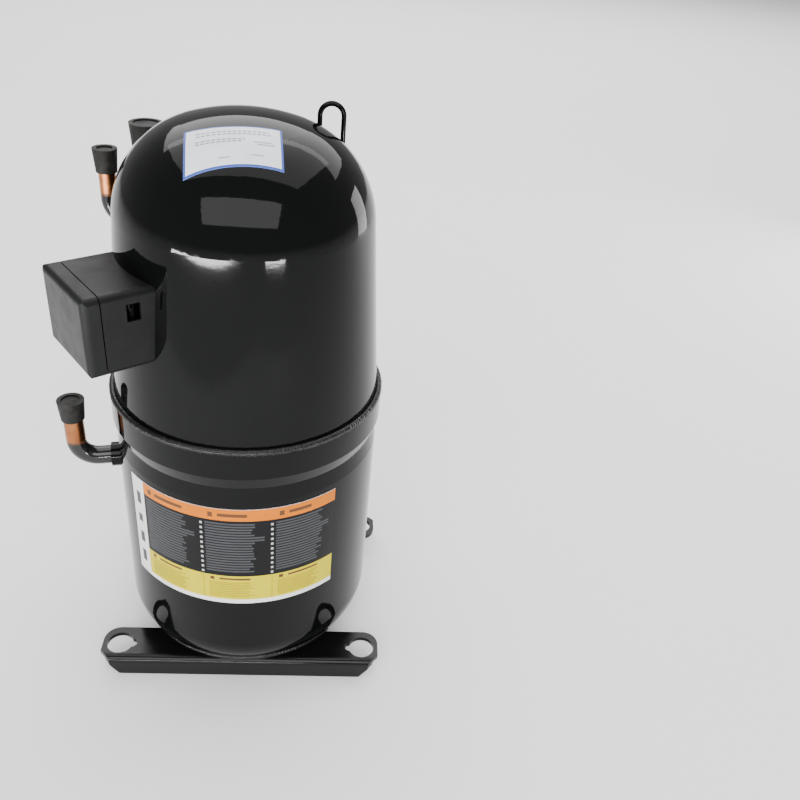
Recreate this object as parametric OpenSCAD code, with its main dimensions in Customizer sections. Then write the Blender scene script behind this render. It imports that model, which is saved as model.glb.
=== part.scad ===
// Hermetic scroll compressor: drawn steel shell, scroll set, motor, bearings, rails and fittings.
// Origin on the floor under the shell's axis, +Z up, front towards -Y. Millimetres.

/* [Shell] */
// Top of the domed upper cup
shell_top = 480; // [460:1:500]
// Outer radius of the upper cup where it enters the bell
upper_r = 109; // [105:0.5:112]
// Radius of the dome's knuckle
dome_knuckle = 74; // [60:1:80]
// Outer radius of the lower cup
lower_r = 111; // [108:0.5:112]
// Height of the bell's rim, where the girth weld lies
rim_z = 260; // [255:1:265]
// Lowest point of the bowl
bowl_z = 2; // [2:1:6]
// Wall thickness of both cups
wall = 4; // [3:0.25:5]

/* [Base rails] */
// Spacing of the foot holes across the front
hole_x = 220; // [215:1:225]
// Spacing of the foot holes from front to rear
hole_y = 170; // [165:1:180]
// Radius of a foot hole
hole_r = 11.5; // [8:0.5:12]
// Length of a rail
rail_len = 251; // [245:1:260]
// Width of a rail's top plate
rail_w = 36; // [34:1:38]
// Height of a rail's top face
rail_h = 20; // [18:1:24]
// Thickness of the rail steel
rail_t = 4; // [3:0.5:5]

/* [Tubes] */
// Outer radius of the suction tube
suction_r = 11.1; // [9:0.1:12]
// Outer radius of the discharge tube
discharge_r = 6.35; // [5:0.05:8]
// Outer radius of the low process tube
process_r = 7.95; // [6:0.05:9]
// Wall thickness of the copper tubes
tube_wall = 1.2; // [0.8:0.1:1.5]

/* [Terminal box] */
// Direction that the box faces, from +X
box_az = 216.7; // [205:1:225]
// Half width of the box
box_half = 36; // [32:1:38]
// Bottom of the box
box_z0 = 320; // [318:1:324]
// Top of the box
box_z1 = 380; // [376:1:382]
// Distance from the shell axis to the cover's joint
box_seam = 132; // [128:1:136]
// Distance from the shell axis to the cover's front
box_front = 145; // [142:1:150]
// Wall thickness of the box and its cover
box_wall = 2.5; // [2:0.25:3]

/* [Scroll set] */
// Radial pitch of the scroll wraps
pitch = 18; // [17.5:0.1:18.5]
// Thickness of a scroll wrap
wrap_t = 4.5; // [4.3:0.1:4.8]
// Eccentricity of the crank pin
ecc = 4.2; // [3.8:0.1:4.2]
// Height of the scroll wraps
wrap_h = 34.5; // [33:0.1:34.6]

/* [Hidden] */
$fn = 96;

// Upper cup: the wall's lower end and the dome's arcs
wall_z = rim_z + 2;
skirt_z = rim_z - 20;
crown_r = 150;
knuckle_x = 24;
knuckle_z = shell_top - crown_r + sqrt(pow(crown_r - dome_knuckle, 2) - knuckle_x * knuckle_x);

// Lower cup: the bowl's arcs, the neck and the bell
bowl_knuckle = 40;
bowl_crown = 400;
bowl_kx = lower_r - bowl_knuckle;
bowl_kz = bowl_z + bowl_crown - sqrt(pow(bowl_crown - bowl_knuckle, 2) - bowl_kx * bowl_kx);
neck_z = rim_z - 34;
bell_z = rim_z - 23;
bell_gap = 0.2;
bell_r = upper_r + bell_gap + wall;
inner_r = lower_r - wall;

// Rails
rail_front = hole_y / 2 + 18;
lobe_r = 4.5;
lobe_step = 10.5;
seat_gap = 0.15;

// Tube runs: direction, height of the run, radius of the leg, height of the leg's mouth
suction_at = [136, 340, 125, 441];
discharge_at = [166, 385, 112, 436];
process_at = [191, 188, 145, 243.5];
cap_wall = 2.2;
cap_len = 18;
cap_play = 0.05;

// Terminal box
term_z = (box_z0 + box_z1) / 2;
box_corner = 5;
cover_gap = 0.8;
term_r = 17;
pin_ring = 9;
pin_wire = 1.6;
ground_at = [109, -22, 334];
ground_r = 2.2;

// Relief valve, measured from the separator plate's top
relief_az = 60;
relief_at = 60;
ball_r = 3.5;
ball_z = 12.2;

// Motor
slots = 24;
bars = 28;
bar_ring = 49;
bar_r = 2.2;
rotor_r = 55.4;
stator_bore = 56;
stator_flat = 101;
weight_r = 52;

// Heights inside the shell
motor_z0 = 100;
motor_z1 = 200;
bracket_z = 64;
housing_z = 262;
deck_z = 300;
plate_z = 300.2;
wrap_z = 310;
fixed_z = wrap_z + wrap_h + 0.4;
fixed_top = 368;
sep_z = 374;
sep_t = 4;
sump_z = 50;

// Shaft and its bearings
tail_r = 12;
shaft_r = 17;
journal_r = 18;
journal_z = 236;
journal_top = 278;
oil_bore = 6;
bush_play = 0.05;
bush_wall = 3;
pin_r = 10;
bush_r = 15;
bush_top = 297.5;

// Scroll wraps: base circle and angles of the involute
base_a = pitch / (2 * PI);
phi_in = 200;
phi_out = 1150;

// Housing, scroll plates and the bolts that join them
housing_r = 86;
seat_r = 77.5;
plate_r = 72;
hub_r = 22;
hub_z = 281.5;
port_r = 6;
bolt_ring = 81;
bolt_r = 3;
bolt_head_r = 4.5;
bolt_seat_z = 362;

// Oldham ring and its keys, with the play that orbiting and sliding together need
oldham_in = 63;
oldham_out = 73;
oldham_z = 288.3;
oldham_top = 294;
key_w = 10;
key_len = 9.4;
key_play = 2 * ecc + 0.3;

// Floating seal's groove
seal_in = 26;
seal_out = 50;
seal_z = 358;

black = [0.05, 0.05, 0.055];
steel = [0.62, 0.63, 0.65];
iron = [0.36, 0.37, 0.38];
copper = [0.72, 0.38, 0.20];
alloy = [0.78, 0.79, 0.80];
bronze = [0.75, 0.60, 0.30];
brass = [0.55, 0.50, 0.38];
plastic = [0.07, 0.07, 0.075];

// Tangent point of the line from p to the circle (c, r), on the side of larger x
function tangent_point(p, c, r) =
    let (d = p - c, l = norm(d), a = atan2(d[1], d[0]) + acos(r / l))
    c + r * [cos(a), sin(a)];

// Outer radius of the bowl's knuckle at height z
function bowl_at(z) = bowl_kx + sqrt(pow(bowl_knuckle, 2) - pow(bowl_kz - z, 2));

// Height of the dome's outside at distance r from the axis
function dome_at(r) = r < knuckle_x * crown_r / (crown_r - dome_knuckle)
    ? shell_top - crown_r + sqrt(crown_r * crown_r - r * r)
    : knuckle_z + sqrt(pow(dome_knuckle, 2) - pow(r - knuckle_x, 2));

// A place in the box's own directions: outward, sideways and up
module box_frame() { rotate([0, 0, box_az]) children(); }

// Solid of revolution of the upper cup, shrunk by inset
module upper_2d(inset = 0) {
    c = [knuckle_x, knuckle_z];
    k = dome_knuckle - inset;
    t = tangent_point([upper_r - inset, wall_z], c, k);
    a = atan2(knuckle_z - (shell_top - crown_r), knuckle_x);
    intersection() {
        union() {
            polygon([
                [0, skirt_z], [upper_r - inset, skirt_z], [upper_r - inset, wall_z], t, c, [0, knuckle_z]
            ]);
            translate(c) circle(k, $fn = 180);
            translate([0, shell_top - crown_r]) intersection() {
                circle(crown_r - inset, $fn = 360);
                polygon([[0, 0], [0, 300], 300 * [cos(a), sin(a)]]);
            }
        }
        translate([0, skirt_z]) square([200, 400]);
    }
}

// Solid of revolution of the lower cup, shrunk by inset
module lower_2d(inset = 0) {
    k = bowl_knuckle - inset;
    a = atan2(bowl_crown - (bowl_kz - bowl_z), bowl_kx);
    intersection() {
        union() {
            polygon([
                [0, bowl_kz], [lower_r - inset, bowl_kz], [lower_r - inset, neck_z - 14],
                [lower_r - inset - 1.5, neck_z], [bell_r - inset, bell_z], [bell_r - inset, rim_z], [0, rim_z]
            ]);
            translate([bowl_kx, bowl_kz]) circle(k, $fn = 120);
            translate([0, bowl_z + bowl_crown]) intersection() {
                circle(bowl_crown - inset, $fn = 360);
                polygon([[0, 0], 400 * [cos(a), -sin(a)], [0, -400]]);
            }
        }
        square([200, rim_z]);
    }
}

// Everything outside the cups, for trimming what meets them
module cups() {
    rotate_extrude() upper_2d();
    rotate_extrude() lower_2d();
}

// Ring of radius r0..r1 between z0 and z1
module ring(r0, r1, z0, z1) {
    translate([0, 0, z0]) difference() {
        cylinder(h = z1 - z0, r = r1);
        translate([0, 0, -1]) cylinder(h = z1 - z0 + 2, r = r0);
    }
}

module rod(r, z0, z1) { translate([0, 0, z0]) cylinder(h = z1 - z0, r = r); }

// Half ring on the +Y or -Y side
module half_ring(r0, r1, z0, z1, side) {
    rotate([0, 0, side > 0 ? 0 : 180]) rotate_extrude(angle = 180)
        translate([r0, z0]) square([r1 - r0, z1 - z0]);
}

module rounded_square(w, h, r) {
    square([w - 2 * r, h], center = true);
    square([w, h - 2 * r], center = true);
    for (x = [-1, 1], y = [-1, 1]) translate([x * (w / 2 - r), y * (h / 2 - r)]) circle(r);
}

// Scroll wrap between two parallel involutes
function involute(phi, start) =
    let (u = (phi - start) * PI / 180)
    base_a * [cos(phi) + u * sin(phi), sin(phi) - u * cos(phi)];

module wrap_2d() {
    half = wrap_t / 2 / base_a * 180 / PI;
    outer = [for (p = [phi_in : 10 : phi_out]) involute(p, -half)];
    inner = [for (p = [phi_out : -10 : phi_in]) involute(p, half)];
    polygon(concat(outer, inner));
}

// Bent tube: out along its direction at run height, then up to the mouth
module bent_tube(at, r, bore, start) {
    bend = 2.2 * r;
    leg = at[2];
    rotate([0, 0, at[0]]) {
        translate([start, 0, at[1]]) rotate([0, 90, 0]) ring(bore, r, 0, leg - bend - start);
        translate([leg - bend, 0, at[1] + bend]) rotate([90, 0, 0]) rotate([0, 0, -90])
            rotate_extrude(angle = 90) translate([bend, 0]) difference() { circle(r); circle(bore); }
        translate([leg, 0, 0]) ring(bore, r, at[1] + bend, at[3]);
    }
}

// The same tube without its bore, for cutting what it passes through
module tube_solid(at, r, start) {
    bend = 2.2 * r;
    leg = at[2];
    rotate([0, 0, at[0]]) {
        translate([start, 0, at[1]]) rotate([0, 90, 0]) cylinder(h = leg - bend - start, r = r);
        translate([leg - bend, 0, at[1] + bend]) rotate([90, 0, 0]) rotate([0, 0, -90])
            rotate_extrude(angle = 90) translate([bend, 0]) circle(r);
    }
}

module tube_hole(at, r, len = 40) {
    rotate([0, 0, at[0]]) translate([75, 0, at[1]]) rotate([0, 90, 0]) cylinder(h = len, r = r);
}

// Rubber cap over a tube's mouth, wider at its dished top
module tube_cap(at, r) {
    dish = 1.2;
    rotate([0, 0, at[0]]) translate([at[2], 0, at[3] - cap_len + cap_wall]) {
        difference() {
            cylinder(h = cap_len, r1 = r + 1.5, r2 = r + 3);
            translate([0, 0, -1]) cylinder(h = cap_len - cap_wall + 1, r = r + cap_play);
            translate([0, 0, cap_len - dish]) cylinder(h = dish + 1, r = r - 0.5);
        }
    }
}

// --- Shell -----------------------------------------------------------------

module lower_shell() {
    color(black) difference() {
        rotate_extrude() difference() {
            lower_2d();
            lower_2d(wall);
            translate([0, skirt_z - 1]) square([upper_r + bell_gap, 60]);
        }
        tube_hole(process_at, process_r);
    }
}

module upper_shell() {
    color(black) difference() {
        rotate_extrude() difference() {
            upper_2d();
            upper_2d(wall - 0.5);
            translate([0, skirt_z - 1]) square([upper_r - wall + 0.5, 2]);
        }
        tube_hole(suction_at, suction_r);
        tube_hole(discharge_at, discharge_r);
        box_frame() translate([80, 0, term_z]) rotate([0, 90, 0]) cylinder(h = 60, r = term_r);
    }
}

module girth_weld() {
    color(black) rotate_extrude() difference() {
        translate([upper_r + 1.2, rim_z + 0.6]) circle(3.6, $fn = 32);
        square([bell_r, rim_z]);
        square([upper_r, rim_z + 20]);
    }
}

module foot_hole() {
    circle(hole_r);
    translate([lobe_step, 0]) circle(lobe_r);
}

// Outline of a rail seen from above, on the front side
module rail_plan() {
    corner = 14;
    clip = 9;
    back = -rail_front + rail_w;
    difference() {
        union() {
            polygon([
                [-rail_len / 2 + clip, -rail_front], [rail_len / 2 - clip, -rail_front],
                [rail_len / 2, -rail_front + clip], [rail_len / 2, back - corner],
                [-rail_len / 2, back - corner], [-rail_len / 2, -rail_front + clip]
            ]);
            translate([-rail_len / 2 + corner, back - corner - 1])
                square([rail_len - 2 * corner, corner + 1]);
            for (s = [-1, 1]) translate([s * (rail_len / 2 - corner), back - corner]) circle(corner);
        }
        translate([-hole_x / 2, -hole_y / 2]) foot_hole();
        translate([hole_x / 2, -hole_y / 2]) rotate(180) foot_hole();
    }
}

// Outline of a rail seen from the front, with the flange's clipped ends
module rail_face() {
    polygon([
        [-rail_len / 2 + 17, 0], [rail_len / 2 - 17, 0], [rail_len / 2 - 8, 12], [rail_len / 2, 14],
        [rail_len / 2, rail_h], [-rail_len / 2, rail_h], [-rail_len / 2, 14], [-rail_len / 2 + 8, 12]
    ]);
}

// Bent section of a rail: plate, bend and flange
module rail_section() {
    bend = 6;
    difference() {
        union() {
            translate([-rail_front, 0]) square([rail_t, rail_h - bend]);
            translate([-rail_front + bend, rail_h - rail_t]) square([rail_w - bend, rail_t]);
            translate([-rail_front + bend, rail_h - bend]) intersection() {
                circle(bend);
                translate([-bend, 0]) square(bend);
            }
        }
        translate([-rail_front + bend, rail_h - bend]) circle(bend - rail_t);
    }
}

module rail() {
    color(black) difference() {
        intersection() {
            translate([rail_len / 2, 0, 0]) rotate([90, 0, -90]) linear_extrude(rail_len)
                mirror([1, 0]) rail_section();
            linear_extrude(rail_h) rail_plan();
            rotate([90, 0, 0]) linear_extrude(rail_front) rail_face();
        }
        translate([0, 0, rail_h - rail_t]) cylinder(
            h = rail_t, r1 = bowl_at(rail_h - rail_t) + seat_gap, r2 = bowl_at(rail_h) + seat_gap
        );
    }
}

module base_rail_front() { rail(); }
module base_rail_rear() { rotate([0, 0, 180]) rail(); }

module lifting_eye() {
    wire = 2;
    arch = 9;
    place = [60.5, 34];
    arch_z = 473;
    color(black) difference() {
        translate(place) {
            translate([0, 0, arch_z]) rotate([90, 0, 0]) rotate_extrude(angle = 180)
                translate([arch, 0]) circle(wire);
            for (s = [-1, 1]) translate([s * arch, 0, 0]) rod(wire, 440, arch_z);
        }
        rotate_extrude() upper_2d();
    }
}

module warning_label() {
    film = 0.3;
    color([0.95, 0.80, 0.15]) rotate([0, 0, -142]) rotate_extrude(angle = 96, $fn = 180)
        translate([lower_r, 103]) square([film, 103]);
}

// Thin sheet that follows the dome, w by d seen from above, turned by angle about its middle
module dome_sheet(middle, w, d, angle, film) {
    nx = 18;
    ny = 12;
    lift = 0.08;
    row = nx + 1;
    layer = row * (ny + 1);
    points = [for (up = [lift, lift + film], j = [0 : ny], i = [0 : nx])
        let (
            u = (i / nx - 0.5) * w,
            v = (j / ny - 0.5) * d,
            p = middle + [u * cos(angle) - v * sin(angle), u * sin(angle) + v * cos(angle)]
        ) [p[0], p[1], dome_at(norm(p)) + up]];
    function at(i, j, up) = up * layer + j * row + i;
    top = [for (j = [0 : ny - 1], i = [0 : nx - 1], half = [0, 1])
        let (a = at(i, j, 1), b = at(i, j + 1, 1), c = at(i + 1, j + 1, 1), d = at(i + 1, j, 1))
        half ? [a, c, d] : [a, b, c]];
    bottom = [for (f = top) [f[2] - layer, f[1] - layer, f[0] - layer]];
    long = [for (i = [0 : nx - 1], side = [0, 1])
        let (a = at(i, side * ny, 0), b = at(i + 1, side * ny, 0))
        side ? [b, a, a + layer, b + layer] : [a, b, b + layer, a + layer]];
    short = [for (j = [0 : ny - 1], side = [0, 1])
        let (a = at(side * nx, j, 0), b = at(side * nx, j + 1, 0))
        side ? [a, b, b + layer, a + layer] : [b, a, a + layer, b + layer]];
    flip = [for (f = concat(long, short)) [f[3], f[2], f[1], f[0]]];
    polyhedron(points, concat(top, bottom, flip));
}

module nameplate() { color("white") dome_sheet([-3, -50], 65, 38, 7, 0.35); }

// --- Tubes -----------------------------------------------------------------

module suction_tube() { color(copper) bent_tube(suction_at, suction_r, suction_r - tube_wall, 96); }
module discharge_tube() { color(copper) bent_tube(discharge_at, discharge_r, discharge_r - tube_wall, 94); }
module process_tube() { color(copper) bent_tube(process_at, process_r, process_r - tube_wall, 105); }

module collar(at, r, reach) {
    difference() {
        rotate([0, 0, at[0]]) translate([80, 0, at[1]]) rotate([0, 90, 0])
            cylinder(h = reach - 80, r = r + 2.5);
        tube_solid(at, r, 70);
        cups();
    }
}

module tube_collars() {
    color(black) {
        collar(suction_at, suction_r, 108);
        collar(discharge_at, discharge_r, 104);
        collar(process_at, process_r, 118);
    }
}

module suction_cap() { color(black) tube_cap(suction_at, suction_r); }
module discharge_cap() { color(black) tube_cap(discharge_at, discharge_r); }
module process_cap() { color(black) tube_cap(process_at, process_r); }

// --- Terminal box ----------------------------------------------------------

module box_outline(inset) {
    rounded_square(box_z1 - box_z0 - 2 * inset, 2 * (box_half - inset), box_corner - inset);
}

// Prism of the box's outline between two distances from the shell's axis
module box_prism(u0, u1, inset = 0) {
    box_frame() translate([u0, 0, term_z]) rotate([0, 90, 0]) linear_extrude(u1 - u0) box_outline(inset);
}

module terminal_box() {
    color(plastic) difference() {
        box_prism(90, box_seam);
        difference() {
            box_prism(89, box_seam + 1, box_wall);
            rotate_extrude() upper_2d(-box_wall);
        }
        cups();
        box_frame() translate([80, 0, term_z]) rotate([0, 90, 0]) cylinder(h = 40, r = 24);
        box_frame() translate([105, box_half - 5, 358]) cube([10, 10, 13]);
        box_frame() translate([ground_at[0] - 9, ground_at[1], ground_at[2]]) rotate([0, 90, 0])
            cylinder(h = 10, r = ground_r);
    }
}

// Body of the cover with its front edges rounded
module cover_block() {
    half_len = box_front - 100;
    intersection() {
        box_prism(box_seam + cover_gap, box_front);
        box_frame() translate([100, box_half + 1, term_z]) rotate([90, 0, 0]) linear_extrude(2 * box_half + 2)
            rounded_square(2 * half_len, box_z1 - box_z0, box_corner);
        box_frame() translate([100, 0, box_z0 - 1]) linear_extrude(box_z1 - box_z0 + 2)
            rounded_square(2 * half_len, 2 * box_half, box_corner);
    }
}

module terminal_cover() {
    lip = 4;
    play = 0.3;
    color(plastic) {
        difference() {
            cover_block();
            box_prism(box_seam - 1, box_front - box_wall, box_wall);
        }
        difference() {
            box_prism(box_seam - lip, box_seam + 2, box_wall + play);
            box_prism(box_seam - lip - 1, box_seam + 3, box_wall + play + 1.5);
        }
    }
}

module hermetic_terminal() {
    color(steel) box_frame() translate([0, 0, term_z]) rotate([0, 90, 0]) difference() {
        union() {
            rod(term_r, 93, 105);
            rod(term_r + 2, 93, 96);
        }
        rod(term_r - 3, 99, 106);
        for (a = [0, 120, 240]) rotate([0, 0, a]) translate([pin_ring, 0, 0]) rod(pin_wire, 90, 110);
    }
}

module terminal_pins() {
    color(alloy) box_frame() translate([0, 0, term_z]) rotate([0, 90, 0])
        for (a = [0, 120, 240]) rotate([0, 0, a]) translate([pin_ring, 0, 0]) rod(pin_wire, 92.5, 122);
}

module terminal_block() {
    color([0.10, 0.10, 0.10]) box_frame() translate([0, 0, term_z]) rotate([0, 90, 0]) difference() {
        union() {
            rod(13.6, 99, 110);
            rod(12.6, 110, 116);
        }
        for (a = [0, 120, 240]) rotate([0, 0, a]) translate([pin_ring, 0, 0]) {
            rod(pin_wire, 98, 117);
            rod(2.8, 112, 117);
        }
    }
}

module ground_screw() {
    color([0.25, 0.50, 0.25]) difference() {
        box_frame() translate([0, ground_at[1], ground_at[2]]) rotate([0, 90, 0]) {
            rod(ground_r, 90, ground_at[0]);
            difference() {
                rod(4, ground_at[0], ground_at[0] + 3);
                translate([-5, -0.6, ground_at[0] + 2]) cube([10, 1.2, 2]);
            }
        }
        cups();
    }
}

// --- Scroll set and bearings ----------------------------------------------

module main_bearing_housing() {
    color(iron) difference() {
        rotate_extrude() intersection() {
            polygon([
                [journal_r + bush_wall, 238], [34, 238], [34, 258], [60, housing_z], [upper_r, housing_z],
                [upper_r, 276], [housing_r, 276], [housing_r, deck_z], [seat_r, deck_z], [seat_r, 288],
                [58, 288], [58, deck_z], [31, deck_z], [31, journal_top], [journal_r + bush_wall, journal_top]
            ]);
            upper_2d(wall - 0.5);
        }
        for (s = [0, 180]) rotate([0, 0, s]) translate([57, -key_w / 2 - 0.15, 281])
            cube([20.5, key_w + 0.3, 8]);
        for (a = [20, 95, 275, 335]) rotate([0, 0, a]) translate([95, 0, 250]) cylinder(h = 40, r = 5);
        for (a = [45 : 90 : 315]) rotate([0, 0, a]) translate([bolt_ring, 0, 280])
            cylinder(h = 30, r = bolt_r);
        box_frame() translate([85, -16, 250]) cube([30, 32, 40]);
    }
}

module main_bearing_bush() {
    color(bronze) ring(journal_r + bush_play, journal_r + bush_wall, journal_z + 4, journal_top - 1);
}

module crankshaft() {
    color(steel) difference() {
        union() {
            rod(tail_r, sump_z + 0.1, 78);
            rod(shaft_r, 78, journal_z);
            rod(journal_r, journal_z, journal_top);
            translate([0, ecc, 0]) rod(pin_r, journal_top, bush_top - 0.5);
        }
        rod(oil_bore, sump_z - 1, 62);
        translate([4.5, 0, 0]) rod(2, 61, 298);
    }
}

module drive_bushing() {
    color(bronze) translate([0, ecc, 0]) ring(pin_r, bush_r, 281, bush_top);
}

module orbiting_scroll() {
    color([0.55, 0.56, 0.58]) translate([0, ecc, 0]) {
        difference() {
            union() {
                rod(plate_r, plate_z, wrap_z);
                rod(hub_r, hub_z, plate_z + 1);
            }
            rod(bush_r + 0.06, 280, 299);
            for (s = [0, 180]) rotate([0, 0, s]) translate([-key_w / 2 - key_play, 58, plate_z - 1])
                cube([key_w + 2 * key_play, 20, 6.8]);
        }
        rotate([0, 0, 180]) translate([0, 0, wrap_z]) linear_extrude(wrap_h) wrap_2d();
    }
}

module fixed_scroll() {
    color([0.48, 0.49, 0.51]) {
        difference() {
            union() {
                rod(housing_r, fixed_z, fixed_top);
                ring(66, housing_r, wrap_z + 0.3, fixed_z);
                ring(seat_r, housing_r, deck_z, wrap_z + 1);
            }
            rod(port_r, fixed_z - 1, fixed_top + 1);
            ring(seal_in, seal_out, seal_z, fixed_top + 1);
            translate([38, 0, 0]) rod(1.5, fixed_z - 1, 360);
            for (a = [45 : 90 : 315]) rotate([0, 0, a]) translate([bolt_ring, 0, 0]) {
                rod(bolt_r, deck_z - 1, bolt_seat_z + 2);
                rod(bolt_head_r + 0.1, bolt_seat_z, fixed_top + 1);
            }
            for (a = [suction_at[0] - 40, suction_at[0] + 140]) rotate([0, 0, a]) translate([60, -15, 315])
                cube([40, 30, 26]);
            for (a = [0, 180]) rotate([0, 0, a]) translate([70, -25, deck_z - 1]) cube([20, 50, 9]);
        }
        translate([0, 0, wrap_z + 0.4]) linear_extrude(wrap_h) wrap_2d();
    }
}

module oldham_ring() {
    color(alloy) {
        ring(oldham_in, oldham_out, oldham_z, oldham_top);
        for (a = [0, 180]) rotate([0, 0, a]) {
            translate([oldham_in + 0.2, -key_w / 2, oldham_z - 6.8]) cube([key_len, key_w, 8]);
            translate([-key_w / 2, oldham_in + 0.2, oldham_top - 1]) cube([key_w, key_len, 11.5]);
        }
    }
}

module scroll_bolts() {
    color(steel) for (a = [45 : 90 : 315]) rotate([0, 0, a]) translate([bolt_ring, 0, 0]) {
        rod(bolt_r, 281, bolt_seat_z + 1);
        difference() {
            rod(bolt_head_r, bolt_seat_z, bolt_seat_z + 5.5);
            translate([0, 0, bolt_seat_z + 3]) cylinder(h = 5, r = 2.6, $fn = 6);
        }
    }
}

module floating_seal() {
    color(alloy) rotate_extrude() polygon([
        [seal_in + 1, seal_z + 0.2], [seal_out - 0.6, seal_z + 0.2], [seal_out - 0.6, 366], [40, 369],
        [34, 372.9], [30, 372.9], [30, 368], [seal_in + 1, 366]
    ]);
}

module separator_plate() {
    color(steel) difference() {
        rotate_extrude() intersection() {
            translate([9, sep_z]) square([upper_r - 9, sep_t]);
            upper_2d(wall - 0.5);
        }
        rotate([0, 0, relief_az]) translate([relief_at, 0, 0]) rod(2.5, sep_z - 1, sep_z + sep_t + 1);
    }
}

module discharge_valve_disc() { color(steel) rod(11.5, sep_z + sep_t, sep_z + sep_t + 1.8); }

module discharge_valve_cage() {
    color(alloy) difference() {
        rod(16, sep_z + sep_t, sep_z + sep_t + 8);
        rod(12.2, sep_z + sep_t - 1, sep_z + sep_t + 5.8);
        for (a = [0 : 60 : 300]) rotate([0, 0, a]) {
            translate([7, 0, 0]) rod(1.8, 380, 390);
            translate([11, -2.5, sep_z + sep_t + 2]) cube([8, 5, 3]);
        }
    }
}

module relief_frame() { rotate([0, 0, relief_az]) translate([relief_at, 0, sep_z + sep_t]) children(); }

module relief_valve_body() {
    color(bronze) relief_frame() difference() {
        cylinder(h = 18, r = 7);
        translate([0, 0, -1]) cylinder(h = 3, r = 2.5);
        translate([0, 0, 1]) cylinder(h = 14, r = 4);
        translate([0, 0, 10]) cylinder(h = 9, r = 2.2);
    }
}

module relief_valve_ball() {
    color(steel) relief_frame() translate([0, 0, ball_z]) sphere(ball_r, $fn = 48);
}

// Coil spring along +Z as rings of wire_n points
module coil_spring(r, wire, z0, z1, turns) {
    steps = 16 * turns;
    wire_n = 6;
    points = [for (i = [0 : steps], j = [0 : wire_n - 1])
        let (a = i * 360 * turns / steps, b = j * 360 / wire_n, d = r + wire * cos(b))
        [d * cos(a), d * sin(a), z0 + (z1 - z0) * i / steps + wire * sin(b)]];
    sides = [for (i = [0 : steps - 1], j = [0 : wire_n - 1])
        let (k = (j + 1) % wire_n)
        [i * wire_n + j, i * wire_n + k, (i + 1) * wire_n + k, (i + 1) * wire_n + j]];
    ends = [[for (j = [wire_n - 1 : -1 : 0]) j], [for (j = [0 : wire_n - 1]) steps * wire_n + j]];
    polyhedron(points, concat(sides, ends));
}

module relief_valve_spring() {
    color(steel) relief_frame() coil_spring(2.8, 0.4, 1.6, 9.2, 4);
}

module suction_deflector() {
    foot = 316;
    tall = 36;
    color(steel) rotate([0, 0, suction_at[0] - 14]) {
        rotate_extrude(angle = 28) translate([88.5, foot]) square([1.5, tall]);
        for (a = [0, 26.8]) rotate([0, 0, a]) rotate_extrude(angle = 1.2) intersection() {
            translate([90, foot]) square([20, tall]);
            upper_2d(wall - 0.5);
        }
    }
}

// --- Motor -----------------------------------------------------------------

module slot_2d(shrink) {
    translate([70 + shrink, -4.2 + shrink]) square([20 - 2 * shrink, 8.4 - 2 * shrink]);
}

module stator_core() {
    color(iron) translate([0, 0, motor_z0]) linear_extrude(motor_z1 - motor_z0) difference() {
        intersection() {
            circle(inner_r - 0.2, $fn = 180);
            square(2 * stator_flat, center = true);
        }
        circle(stator_bore, $fn = 180);
        for (i = [0 : slots - 1]) rotate(i * 360 / slots) {
            slot_2d(0);
            translate([50, -1.5]) square([21, 3]);
        }
    }
}

module winding_end(z) {
    rotate_extrude() translate([80, z]) rounded_square(26, 20, 6);
}

module stator_windings() {
    color(copper) {
        winding_end(motor_z1 + 10.1);
        winding_end(motor_z0 - 10.1);
        translate([0, 0, motor_z0 - 4]) linear_extrude(motor_z1 - motor_z0 + 8)
            for (i = [0 : slots - 1]) rotate(i * 360 / slots) slot_2d(0.3);
    }
}

module rotor_core() {
    color(iron) translate([0, 0, motor_z0]) linear_extrude(motor_z1 - motor_z0) difference() {
        circle(rotor_r, $fn = 180);
        circle(shaft_r);
        for (i = [0 : bars - 1]) rotate(i * 360 / bars) translate([bar_ring, 0]) circle(bar_r, $fn = 24);
    }
}

module rotor_cage() {
    color(alloy) {
        ring(36, 54.5, motor_z0 - 8, motor_z0);
        ring(36, 54.5, motor_z1, motor_z1 + 8);
        for (i = [0 : bars - 1]) rotate([0, 0, i * 360 / bars]) translate([bar_ring, 0, motor_z0 - 1])
            cylinder(h = motor_z1 - motor_z0 + 2, r = bar_r, $fn = 24);
    }
}

module upper_counterweight() {
    color(brass) {
        half_ring(shaft_r, weight_r, motor_z1 + 8, motor_z1 + 26, -1);
        ring(shaft_r, shaft_r + 6, motor_z1 + 8, motor_z1 + 14);
    }
}

module lower_counterweight() {
    color(brass) {
        half_ring(shaft_r, weight_r, motor_z0 - 20, motor_z0 - 8, 1);
        ring(shaft_r, shaft_r + 6, motor_z0 - 14, motor_z0 - 8);
    }
}

module motor_protector() {
    color([0.15, 0.15, 0.16]) rotate([0, 0, 240]) translate([80, 0, motor_z1 + 24.1])
        cube([12, 24, 8], center = true);
}

module motor_leads() {
    lead = 2;
    rise_u = 90.5;
    run_z = motor_z1 + 20.1 + lead;
    color([0.65, 0.12, 0.10]) box_frame() for (i = [-1, 0, 1]) {
        side = i * pin_ring * sin(120);
        top = term_z + (i == 0 ? -pin_ring : pin_ring / 2) + lead;
        translate([74, side, run_z]) rotate([0, 90, 0]) cylinder(h = rise_u - 74, r = lead);
        translate([rise_u, side, run_z]) sphere(lead, $fn = 32);
        translate([rise_u, side, 0]) rod(lead, run_z, top);
    }
}

// --- Sump ------------------------------------------------------------------

module lower_bearing_bracket() {
    color(iron) difference() {
        union() {
            ring(96, inner_r - 0.2, bracket_z - 2, bracket_z + 12);
            rod(24, sump_z, bracket_z + 12);
            for (a = [90, 210, 330]) rotate([0, 0, a]) translate([20, -8, bracket_z]) cube([78, 16, 9]);
        }
        rod(tail_r + bush_wall, sump_z - 1, bracket_z + 13);
    }
}

module lower_bearing_bush() {
    color(bronze) ring(tail_r + bush_play, tail_r + bush_wall, sump_z, bracket_z + 12);
}

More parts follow.
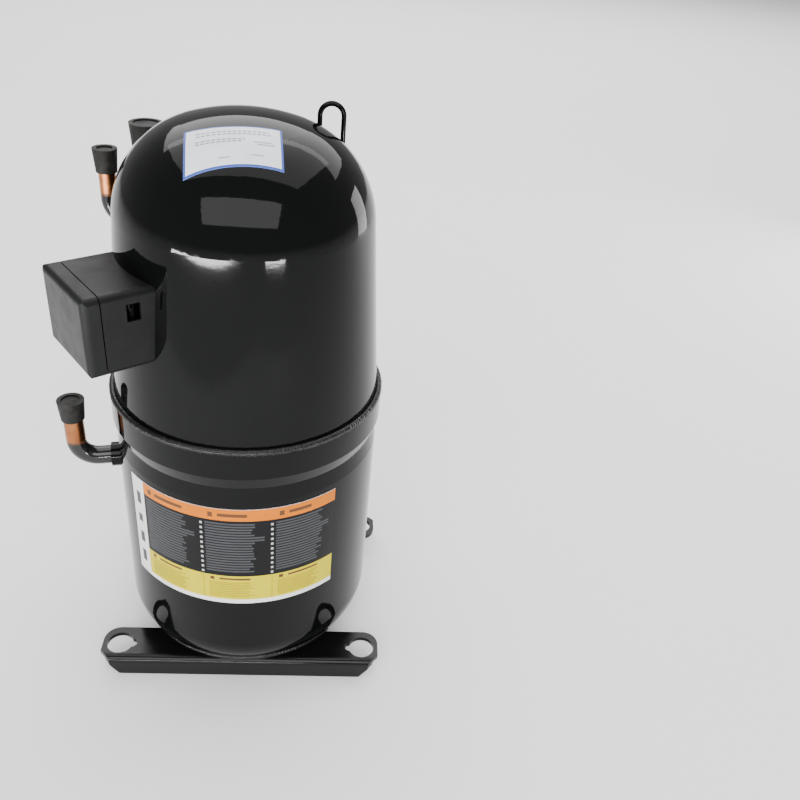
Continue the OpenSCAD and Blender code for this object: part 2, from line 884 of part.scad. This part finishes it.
module thrust_plate() { color(steel) ring(oil_bore + 1.5, 22, sump_z - 4, sump_z); }

module oil_pickup_tube() { color(steel) ring(oil_bore - 2, oil_bore, 18, 62); }

module oil_screen() {
    color(alloy) difference() {
        rod(14.5, 13.5, 46);
        rod(13.7, 14.3, 47);
        rod(9, 12, 15);
        for (a = [0 : 45 : 315], z = [22, 34]) rotate([0, 0, a]) translate([14, 0, z]) rotate([0, 90, 0])
            cylinder(h = 6, r = 2.5, center = true);
    }
}

module sump_magnet() {
    color(iron) rotate([0, 0, 90]) translate([66, 0, 0]) rod(7, bracket_z + 9, bracket_z + 14);
}

lower_shell();
upper_shell();
girth_weld();
base_rail_front();
base_rail_rear();
lifting_eye();
warning_label();
nameplate();
suction_tube();
discharge_tube();
process_tube();
tube_collars();
suction_cap();
discharge_cap();
process_cap();
terminal_box();
terminal_cover();
hermetic_terminal();
terminal_pins();
terminal_block();
ground_screw();
main_bearing_housing();
main_bearing_bush();
crankshaft();
drive_bushing();
orbiting_scroll();
fixed_scroll();
oldham_ring();
scroll_bolts();
floating_seal();
separator_plate();
discharge_valve_disc();
discharge_valve_cage();
relief_valve_body();
relief_valve_ball();
relief_valve_spring();
suction_deflector();
stator_core();
stator_windings();
rotor_core();
rotor_cage();
upper_counterweight();
lower_counterweight();
motor_protector();
motor_leads();
lower_bearing_bracket();
lower_bearing_bush();
thrust_plate();
oil_pickup_tube();
oil_screen();
sump_magnet();
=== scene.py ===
"""Looks for the hermetic scroll compressor: black shell, weld beads, labels, tubes and terminal box."""

import math

import bpy
from mathutils import Matrix, Vector
from mathutils.bvhtree import BVHTree
from mathutils.noise import noise


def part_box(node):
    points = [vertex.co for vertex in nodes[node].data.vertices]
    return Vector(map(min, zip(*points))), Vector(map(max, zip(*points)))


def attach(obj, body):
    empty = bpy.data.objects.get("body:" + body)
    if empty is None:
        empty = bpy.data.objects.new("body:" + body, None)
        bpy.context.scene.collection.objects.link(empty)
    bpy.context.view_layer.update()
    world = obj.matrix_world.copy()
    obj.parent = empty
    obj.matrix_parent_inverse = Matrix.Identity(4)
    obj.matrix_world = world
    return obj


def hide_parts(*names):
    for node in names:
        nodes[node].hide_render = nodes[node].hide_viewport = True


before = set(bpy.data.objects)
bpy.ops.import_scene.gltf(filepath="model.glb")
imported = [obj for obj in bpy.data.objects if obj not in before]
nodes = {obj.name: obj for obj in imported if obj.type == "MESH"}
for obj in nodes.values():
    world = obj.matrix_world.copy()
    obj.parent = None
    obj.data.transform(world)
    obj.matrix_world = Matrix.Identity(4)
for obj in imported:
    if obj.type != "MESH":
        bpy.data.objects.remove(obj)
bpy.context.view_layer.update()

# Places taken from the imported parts, in metres
lower_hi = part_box("lower_shell")[1]
label_lo, label_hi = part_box("warning_label")
rim_z = lower_hi[2]
film = 0.00006

# The labels' own sizes: the tall one's ends as azimuths, the nameplate's sides and turn
label_from, label_to = -142.0, -46.0
plate_wide, plate_deep, plate_turn = 0.065, 0.038, 7.0


# --- Material helpers ------------------------------------------------------


class Shader:
    """A Principled material with short calls for the nodes that feed it."""

    def __init__(self, name, color, roughness, metallic=0.0, ior=1.5):
        self.material = bpy.data.materials.new(name)
        self.material.use_nodes = True
        self.nodes = self.material.node_tree.nodes
        self.links = self.material.node_tree.links
        self.bsdf = self.nodes["Principled BSDF"]
        self.bsdf.inputs["Base Color"].default_value = (*color, 1)
        self.bsdf.inputs["Roughness"].default_value = roughness
        self.bsdf.inputs["Metallic"].default_value = metallic
        self.bsdf.inputs["IOR"].default_value = ior
        self.material.diffuse_color = (*color, 1)
        self.place = self.nodes.new("ShaderNodeTexCoord").outputs["Object"]

    def link(self, source, node, socket):
        self.links.new(source, node.inputs[socket])

    def stretched(self, scale):
        mapping = self.nodes.new("ShaderNodeMapping")
        mapping.inputs["Scale"].default_value = scale
        self.link(self.place, mapping, "Vector")
        return mapping.outputs["Vector"]

    def noise(self, scale, detail=4.0, rough=0.5, vector=None):
        node = self.nodes.new("ShaderNodeTexNoise")
        node.inputs["Scale"].default_value = scale
        node.inputs["Detail"].default_value = detail
        node.inputs["Roughness"].default_value = rough
        self.link(vector or self.place, node, "Vector")
        return node.outputs["Fac"]

    def ramp(self, value, low, high):
        node = self.nodes.new("ShaderNodeValToRGB")
        node.color_ramp.elements[0].position = low
        node.color_ramp.elements[1].position = high
        node.color_ramp.elements[0].color = (0, 0, 0, 1)
        node.color_ramp.elements[1].color = (1, 1, 1, 1)
        self.link(value, node, "Fac")
        return node.outputs["Color"]

    def span(self, value, low, high, out_low, out_high):
        node = self.nodes.new("ShaderNodeMapRange")
        node.inputs["From Min"].default_value = low
        node.inputs["From Max"].default_value = high
        node.inputs["To Min"].default_value = out_low
        node.inputs["To Max"].default_value = out_high
        self.link(value, node, "Value")
        return node.outputs["Result"]

    def mix(self, factor, first, second):
        node = self.nodes.new("ShaderNodeMix")
        node.data_type = "RGBA"
        self.link(factor, node, 0)
        for slot, value in ((6, first), (7, second)):
            if isinstance(value, tuple):
                node.inputs[slot].default_value = (*value, 1)
            else:
                self.link(value, node, slot)
        return node.outputs[2]

    def color(self, source):
        self.link(source, self.bsdf, "Base Color")

    def rough(self, source):
        self.link(source, self.bsdf, "Roughness")

    def bump(self, height, strength, distance):
        node = self.nodes.new("ShaderNodeBump")
        node.inputs["Strength"].default_value = strength
        node.inputs["Distance"].default_value = distance
        self.link(height, node, "Height")
        if self.bsdf.inputs["Normal"].is_linked:
            self.link(self.bsdf.inputs["Normal"].links[0].from_socket, node, "Normal")
        self.link(node.outputs["Normal"], self.bsdf, "Normal")


def gloss_paint():
    """Thick black enamel: slight orange peel, soft waves of the drawn steel, a little dust."""
    black = (0.0025, 0.0027, 0.0028)
    s = Shader("gloss_black_paint", black, 0.07, ior=1.24)
    dust = s.ramp(s.noise(900, 2), 0.70, 0.80)
    s.color(s.mix(dust, black, (0.010, 0.0105, 0.010)))
    s.rough(s.span(s.noise(16, 5), 0.3, 0.7, 0.03, 0.07))
    s.bump(s.noise(420, 2), 0.02, 0.0004)
    s.bump(s.noise(9, 2), 0.08, 0.004)
    return s.material


def weld_paint():
    """The same enamel over the rippled beads, thinner and lighter in random patches."""
    s = Shader("painted_weld", (0.005, 0.005, 0.005), 0.14, ior=1.38)
    s.rough(s.span(s.noise(260, 4), 0.3, 0.7, 0.10, 0.30))
    s.color(s.mix(s.ramp(s.noise(700, 3), 0.62, 0.72), (0.008, 0.008, 0.008), (0.030, 0.028, 0.026)))
    s.bump(s.noise(600, 4), 0.35, 0.0006)
    return s.material


def rail_paint():
    """Enamel on folded steel: glossy, with rolled-steel drag marks beneath."""
    s = Shader("rail_black_paint", (0.004, 0.004, 0.0045), 0.12, ior=1.33)
    s.rough(s.span(s.noise(40, 5), 0.3, 0.7, 0.09, 0.22))
    s.bump(s.noise(500, 3, vector=s.stretched((0.15, 1, 1))), 0.08, 0.0005)
    return s.material


def box_plastic():
    """Satin moulded plastic with a fine spark-eroded grain."""
    s = Shader("satin_black_plastic", (0.004, 0.0042, 0.0045), 0.38, ior=1.27)
    s.rough(s.span(s.noise(70, 5), 0.3, 0.7, 0.32, 0.44))
    s.color(s.mix(s.ramp(s.noise(30, 6), 0.35, 0.75), (0.0035, 0.0037, 0.004), (0.007, 0.0072, 0.0075)))
    s.bump(s.noise(2600, 2), 0.22, 0.0003)
    return s.material


def cap_rubber():
    """Matt rubber with a bloom of dust and a fine bumpy grain."""
    s = Shader("black_rubber", (0.008, 0.0075, 0.007), 0.62, ior=1.35)
    s.color(s.mix(s.ramp(s.noise(160, 6), 0.45, 0.75), (0.007, 0.0065, 0.006), (0.024, 0.022, 0.020)))
    s.rough(s.span(s.noise(90, 4), 0.3, 0.7, 0.50, 0.75))
    s.bump(s.noise(1500, 3), 0.3, 0.0004)
    return s.material


def copper(name, paint_top=None):
    """Drawn copper that has dulled unevenly; below paint_top it is under the shell's black enamel."""
    s = Shader(name, (0.40, 0.15, 0.06), 0.28, metallic=1.0)
    dull = s.ramp(s.noise(60, 6, 0.6), 0.35, 0.70)
    bright = s.mix(dull, (0.46, 0.175, 0.07), (0.20, 0.07, 0.03))
    rough = s.span(s.noise(90, 5), 0.3, 0.7, 0.20, 0.42)
    s.bump(s.noise(700, 3, vector=s.stretched((1, 1, 0.1))), 0.10, 0.0003)
    if paint_top is None:
        s.color(bright)
        s.rough(rough)
        return s.material
    split = s.nodes.new("ShaderNodeSeparateXYZ")
    s.link(s.place, split, "Vector")
    ragged = s.nodes.new("ShaderNodeMath")
    ragged.operation = "MULTIPLY_ADD"
    s.link(s.noise(120, 3), ragged, 0)
    ragged.inputs[1].default_value = 0.006
    s.link(split.outputs["Z"], ragged, 2)
    bare = s.span(ragged.outputs[0], paint_top, paint_top + 0.004, 0.0, 1.0)
    s.color(s.mix(bare, (0.010, 0.010, 0.010), bright))
    s.link(bare, s.bsdf, "Metallic")
    s.rough(s.span(bare, 0, 1, 0.12, 0.32))
    return s.material


def metal(name, color, roughness, grain=(1, 1, 1), size=300, spread=0.08):
    """Machined or cast metal: grain runs along the short axis of the scale."""
    s = Shader(name, color, roughness, metallic=1.0)
    streaks = s.noise(size, 5, vector=s.stretched(grain))
    s.rough(s.span(streaks, 0.3, 0.7, roughness - spread, roughness + spread))
    dark = tuple(c * 0.72 for c in color)
    s.color(s.mix(s.ramp(s.noise(size / 6, 5), 0.35, 0.7), color, dark))
    s.bump(s.noise(size, 4, vector=s.stretched(grain)), 0.12, 0.0003)
    return s.material


def print_ink(name, color, roughness=0.32):
    """Printed polyester film with a faint mottle."""
    s = Shader(name, color, roughness, ior=1.25)
    dark = tuple(c * 0.90 for c in color)
    s.color(s.mix(s.ramp(s.noise(90, 5), 0.35, 0.75), color, dark))
    s.rough(s.span(s.noise(120, 3), 0.3, 0.7, roughness - 0.05, roughness + 0.08))
    s.bump(s.noise(900, 2), 0.05, 0.0002)
    return s.material


def winding_copper():
    """Enamelled winding wire, seen as fine turns."""
    s = Shader("winding_wire", (0.45, 0.16, 0.06), 0.3, metallic=0.7)
    s.bump(s.noise(1400, 2, vector=s.stretched((1, 1, 6))), 0.5, 0.0006)
    s.color(s.mix(s.ramp(s.noise(200, 4), 0.35, 0.7), (0.50, 0.19, 0.07), (0.28, 0.09, 0.035)))
    return s.material


def floor_paper():
    s = Shader("studio_paper", (0.93, 0.93, 0.93), 0.85)
    s.color(s.mix(s.noise(3, 3), (0.93, 0.93, 0.93), (0.90, 0.90, 0.90)))
    return s.material


# --- Mesh helpers ----------------------------------------------------------


def add_mesh(name, verts, faces, material, body="shell", smooth=True):
    mesh = bpy.data.meshes.new(name)
    mesh.from_pydata([tuple(v) for v in verts], [], faces)
    mesh.materials.append(material)
    mesh.validate()
    for polygon in mesh.polygons:
        polygon.use_smooth = smooth
    mesh.update()
    piece = bpy.data.objects.new(name, mesh)
    bpy.context.scene.collection.objects.link(piece)
    if body:
        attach(piece, body)
    return piece


def polar(azimuth, radius, z):
    a = math.radians(azimuth)
    return Vector((radius * math.cos(a), radius * math.sin(a), z))


def loft(name, rings, material, body="shell", closed_ring=True, closed_loft=False, caps=False):
    """Skin over rings of points, all with the same count."""
    count = len(rings[0])
    verts = [v for ring in rings for v in ring]
    faces = []
    last = len(rings) if closed_loft else len(rings) - 1
    for i in range(last):
        k = (i + 1) % len(rings)
        for j in range(count if closed_ring else count - 1):
            m = (j + 1) % count
            faces.append((i * count + j, i * count + m, k * count + m, k * count + j))
    if caps:
        faces.append(tuple(reversed(range(count))))
        faces.append(tuple((len(rings) - 1) * count + j for j in range(count)))
    return add_mesh(name, verts, faces, material, body)


def assign(material, *names):
    for name in names:
        for slot in nodes[name].material_slots:
            slot.material = material


def surface_of(node):
    """Ray-castable surface of a CAD node."""
    mesh = nodes[node].data
    return BVHTree.FromPolygons([v.co for v in mesh.vertices], [p.vertices for p in mesh.polygons])


# --- Shell details ---------------------------------------------------------


def bead(path, radius, ripple_pitch, depth=0.18, seed=0.0):
    """Rings of a weld bead along (centre, outward, along) frames, swelling at each ripple."""
    sides = 10
    rings = []
    travelled = 0.0
    previous = path[0][0]
    for centre, outward, along in path:
        travelled += (centre - previous).length
        previous = centre
        phase = (travelled / ripple_pitch) % 1.0
        swell = 1 + depth * (0.5 - phase) + 0.10 * noise(centre * 300 + Vector((seed, 0, 0)))
        third = outward.cross(along).normalized()
        ring = []
        for j in range(sides):
            turn = 2 * math.pi * j / sides
            ring.append(centre + (outward * math.cos(turn) + third * math.sin(turn)) * radius * swell)
        rings.append(ring)
    return rings


def girth_weld(material):
    """Rippled bead round the bell's rim, in place of the plain ring."""
    radius = 0.0030
    ring_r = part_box("girth_weld")[1][0] - 0.0034
    z = rim_z + 0.0004
    steps = 1440
    path = []
    for i in range(steps):
        a = 2 * math.pi * i / steps
        outward = Vector((math.cos(a), math.sin(a), 0))
        sag = 0.00025 * noise(outward * 5)
        along = Vector((-math.sin(a), math.cos(a), 0))
        path.append((outward * (ring_r + sag) + Vector((0, 0, z)), outward, along))
    rings = bead(path, radius, 0.0026)
    piece = loft("girth_weld_bead", rings, material, closed_loft=True)
    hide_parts("girth_weld")


def rail_welds(material):
    """Fillet beads where each rail's plate meets the bowl."""
    bowl = surface_of("lower_shell")
    for label, sign in (("front", -1), ("rear", 1)):
        lo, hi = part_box("base_rail_" + label)
        z = hi[2] + 0.001
        edge = min(abs(lo[1]), abs(hi[1]))
        path = []
        hit = bowl.ray_cast(Vector((0, sign * 0.2, z)), Vector((0, -sign, 0)))
        bowl_r = abs(hit[0].y) + 0.0002
        reach = math.acos(min(1.0, (edge - 0.004) / bowl_r))
        steps = 240
        for i in range(steps + 1):
            a = (2 * i / steps - 1) * reach
            outward = Vector((math.sin(a), sign * math.cos(a), 0))
            along = Vector((math.cos(a), -sign * math.sin(a), 0))
            path.append((outward * bowl_r + Vector((0, 0, z - 0.0006)), outward, along))
        rings = bead(path, 0.0026, 0.003, seed=7.0 * sign)
        piece = loft("rail_weld_" + label, rings, material, caps=True)


def strip(az0, az1, z0, z1, radius, verts, faces):
    """Adds a curved rectangle on a cylinder to a growing mesh."""
    steps = max(1, int(abs(az1 - az0) / 1.5))
    base = len(verts)
    for i in range(steps + 1):
        az = az0 + (az1 - az0) * i / steps
        verts.append(polar(az, radius, z0))
        verts.append(polar(az, radius, z1))
    for i in range(steps):
        k = base + 2 * i
        faces.append((k, k + 2, k + 3, k + 1))


def label_print():
    """Generic placard: colour bands, plain bars in three columns, dotted dividers."""
    radius = abs(label_lo[1])
    z0, z1 = label_lo[2], label_hi[2]
    height = z1 - z0
    side_wide = 8.6
    columns = 3
    print_from = label_from + side_wide
    column_wide = (label_to - print_from) / columns
    layers = {}

    def put(ink, a0, a1, low, high, level):
        """A patch between two azimuths and two shares of the label's height."""
        verts, faces = layers.setdefault((ink, level), ([], []))
        strip(a0, a1, z0 + low * height, z0 + high * height, radius + film * level, verts, faces)

    def bars(ink, a0, rows, top, pitch, tall, ends):
        """Rows of bars that stand for lines of print, each with its own ragged end."""
        for row in range(rows):
            low = top - row * pitch
            put(ink, a0, ends(row), low, low + tall, 2)

    put("label_orange", print_from, label_to, 0.885, 0.998, 1)
    put("label_black", print_from, label_to, 0.305, 0.885, 1)
    put("label_yellow", print_from, label_to, 0.045, 0.305, 1)
    for column in range(columns):
        a0 = print_from + column * column_wide

        def upper_end(row):
            if row in (5, 6):
                return a0 + 26.0
            return a0 + 21.5 + 3.2 * noise(Vector((row * 1.7, column * 5.1, 0.3)))

        def lower_end(row):
            return a0 + 20.0 + 4.0 * noise(Vector((row * 2.3, column * 3.7, 4.3)))

        put("label_ink", a0 + 7.0, a0 + 21.0 - 2 * column, 0.925, 0.955, 2)
        put("label_ink", a0 + 3.0, a0 + 5.0, 0.915, 0.962, 2)
        put("label_ink", a0 + 7.0, a0 + 19.0 + column, 0.262, 0.282, 2)
        put("label_ink", a0 + 3.0, a0 + 4.8, 0.255, 0.288, 2)
        bars("label_grey", a0 + 1.6, 19, 0.845, 0.0275, 0.0165, upper_end)
        bars("label_olive", a0 + 2.4, 9, 0.225, 0.0195, 0.010, lower_end)
        if column:
            for dot in range(11):
                low = 0.325 + dot * 0.0505
                put("label_white", a0 - 0.5, a0 + 0.5, low, low + 0.022, 3)
            put("label_olive", a0 - 0.15, a0 + 0.15, 0.05, 0.30, 3)
    for low, high in ((0.12, 0.24), (0.33, 0.44), (0.55, 0.63), (0.74, 0.86)):
        put("label_grey", label_from + 3.2, label_from + 6.0, low, high, 2)
    inks = {
        "label_orange": (0.64, 0.165, 0.0),
        "label_black": (0.005, 0.005, 0.006),
        "label_yellow": (0.62, 0.52, 0.0),
        "label_ink": (0.12, 0.05, 0.02),
        "label_grey": (0.055, 0.057, 0.062),
        "label_olive": (0.36, 0.30, 0.0),
        "label_white": (0.50, 0.50, 0.49),
    }
    made = {name: print_ink(name, color) for name, color in inks.items()}
    for (ink, level), (verts, faces) in layers.items():
        piece = add_mesh("%s_%d" % (ink, level), verts, faces, made[ink])
    assign(print_ink("label_film_white", (0.80, 0.80, 0.79)), "warning_label")


def nameplate_print():
    """White film with a blue border and plain grey bars, laid on the dome."""
    skin = surface_of("nameplate")
    lo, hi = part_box("nameplate")
    middle = Vector(((lo[0] + hi[0]) / 2, (lo[1] + hi[1]) / 2, 0))
    turn = Matrix.Rotation(math.radians(plate_turn), 4, "Z")

    def lay(name, patches, material, level):
        verts, faces = [], []
        for u0, u1, v0, v1 in patches:
            nu = max(1, int((u1 - u0) * 40))
            nv = max(1, int((v1 - v0) * 24))
            base = len(verts)
            for j in range(nv + 1):
                for i in range(nu + 1):
                    u = (u0 + (u1 - u0) * i / nu - 0.5) * plate_wide
                    v = (v0 + (v1 - v0) * j / nv - 0.5) * plate_deep
                    top = middle + turn @ Vector((u, v, 0)) + Vector((0, 0, 0.6))
                    hit, normal, _, _ = skin.ray_cast(top, Vector((0, 0, -1)))
                    verts.append(hit + Vector((0, 0, film * level)))
            for j in range(nv):
                for i in range(nu):
                    k = base + j * (nu + 1) + i
                    faces.append((k, k + 1, k + nu + 2, k + nu + 1))
        piece = add_mesh(name, verts, faces, material)

    edge_u, edge_v = 0.022, 0.035
    blue = print_ink("plate_blue", (0.05, 0.10, 0.45))
    white = print_ink("plate_white", (0.84, 0.86, 0.90))
    lay("nameplate_border", [(0.004, 0.996, 0.006, 0.994)], blue, 1)
    lay("nameplate_field", [(edge_u, 1 - edge_u, edge_v, 1 - edge_v)], white, 2)
    bars = []
    for row, (v, reach) in enumerate(((0.80, 0.86), (0.72, 0.90), (0.57, 0.62), (0.51, 0.60))):
        u = 0.12
        while u < reach:
            step = 0.035 + 0.02 * abs(noise(Vector((u * 20, row * 3.0, 1.0))))
            bars.append((u, min(u + step, reach), v, v + 0.035))
            u += step + 0.014
    bars += [(0.70, 0.90, 0.50, 0.525), (0.74, 0.92, 0.44, 0.465)]
    bars += [(0.35, 0.47, 0.16, 0.18), (0.68, 0.80, 0.20, 0.22)]
    lay("nameplate_bars", bars, print_ink("plate_grey", (0.30, 0.33, 0.42)), 3)
    assign(print_ink("plate_film", (0.10, 0.16, 0.50)), "nameplate")


# --- Stage -----------------------------------------------------------------


def studio():
    """Pale floor under an even white sky."""
    half = 20
    verts = [(-half, -half, 0), (half, -half, 0), (half, half, 0), (-half, half, 0)]
    floor = add_mesh("studio_floor", verts, [(0, 1, 2, 3)], floor_paper(), body=None)
    world = bpy.data.worlds.new("studio_world")
    world.use_nodes = True
    world.node_tree.nodes["Background"].inputs["Color"].default_value = (1.0, 1.0, 1.0, 1)
    world.node_tree.nodes["Background"].inputs["Strength"].default_value = 0.4
    bpy.context.scene.world = world


def softbox(name, place, target, size, power):
    """Rectangular light that shines on target and isn't itself seen."""
    data = bpy.data.lights.new(name, "AREA")
    data.shape = "RECTANGLE"
    data.size, data.size_y = size
    data.energy = power
    light = bpy.data.objects.new(name, data)
    light.location = place
    aim = Vector(target) - Vector(place)
    light.rotation_euler = aim.to_track_quat("-Z", "Y").to_euler()
    light.visible_camera = False
    bpy.context.scene.collection.objects.link(light)


def camera():
    """Viewpoint from above the front, a little to the right, rolled a few degrees."""
    data = bpy.data.cameras.new("camera")
    data.sensor_width = 36
    data.lens = 36.4755
    place = (0.065671, -0.597295, 0.628128)
    yaw, pitch, roll = 0.109, 0.570, 0.107
    view = bpy.data.objects.new("camera", data)
    forward = Vector((math.sin(yaw) * math.cos(pitch), math.cos(yaw) * math.cos(pitch), -math.sin(pitch)))
    right = Vector((math.cos(yaw), -math.sin(yaw), 0))
    up = right.cross(forward)
    side = right * math.cos(roll) + up * math.sin(roll)
    top = up * math.cos(roll) - right * math.sin(roll)
    view.matrix_world = Matrix((
        (side.x, top.x, -forward.x, place[0]),
        (side.y, top.y, -forward.y, place[1]),
        (side.z, top.z, -forward.z, place[2]),
        (0, 0, 0, 1),
    ))
    bpy.context.scene.collection.objects.link(view)
    bpy.context.scene.camera = view


# --- Build -----------------------------------------------------------------

camera()
studio()
softbox("overhead", (0.0, 0.6, 2.6), (0, 0, 0), (4.0, 2.5), 80)
softbox("front_top", (0.0, -2.4, 2.2), (0, 0, 0.1), (3.6, 1.6), 84)
softbox("front_strip", (-0.445, -0.895, 0.165), (-0.02, -0.1, 1.05), (1.08, 0.035), 13)
softbox("front_spot", (0.52, -0.98, 0.15), (0.04, -0.09, 1.00), (0.30, 0.035), 3.4)
softbox("backdrop", (0.5, 4.0, 3.0), (0.5, 4.0, 0), (7.0, 4.0), 300)
softbox("right_panel", (1.5, 0.9, 0.30), (0.09, -0.05, 0.3), (0.5, 1.0), 10)

paint = gloss_paint()
assign(paint, "upper_shell", "lower_shell", "lifting_eye", "tube_collars")
assign(rail_paint(), "base_rail_front", "base_rail_rear")
weld = weld_paint()
girth_weld(weld)
rail_welds(weld)
label_print()
nameplate_print()
assign(box_plastic(), "terminal_box", "terminal_cover", "terminal_block", "motor_protector")
assign(cap_rubber(), "suction_cap", "discharge_cap", "process_cap")
assign(copper("suction_copper"), "suction_tube")
assign(copper("discharge_copper", 0.405), "discharge_tube")
assign(copper("process_copper", 0.207), "process_tube")
assign(winding_copper(), "stator_windings")
steel = metal("machined_steel", (0.60, 0.60, 0.61), 0.28, (1, 1, 0.05))
assign(steel, "hermetic_terminal", "crankshaft", "scroll_bolts", "separator_plate", "discharge_valve_disc")
assign(steel, "discharge_valve_cage", "relief_valve_ball", "relief_valve_spring", "suction_deflector")
assign(steel, "thrust_plate", "oil_pickup_tube", "oil_screen", "terminal_pins")
iron = metal("machined_iron", (0.33, 0.34, 0.35), 0.42)
assign(iron, "main_bearing_housing", "orbiting_scroll", "fixed_scroll")
assign(iron, "lower_bearing_bracket", "sump_magnet")
assign(metal("laminations", (0.38, 0.39, 0.40), 0.38, (0.05, 0.05, 12), 420), "stator_core", "rotor_core")
bronze = metal("bearing_bronze", (0.62, 0.42, 0.16), 0.30)
assign(bronze, "main_bearing_bush", "drive_bushing", "lower_bearing_bush", "relief_valve_body")
assign(bronze, "upper_counterweight", "lower_counterweight")
assign(metal("cast_aluminium", (0.72, 0.73, 0.74), 0.36), "oldham_ring", "floating_seal", "rotor_cage")
assign(print_ink("lead_red", (0.45, 0.05, 0.03), 0.4), "motor_leads")
assign(metal("green_screw", (0.10, 0.36, 0.16), 0.32), "ground_screw")
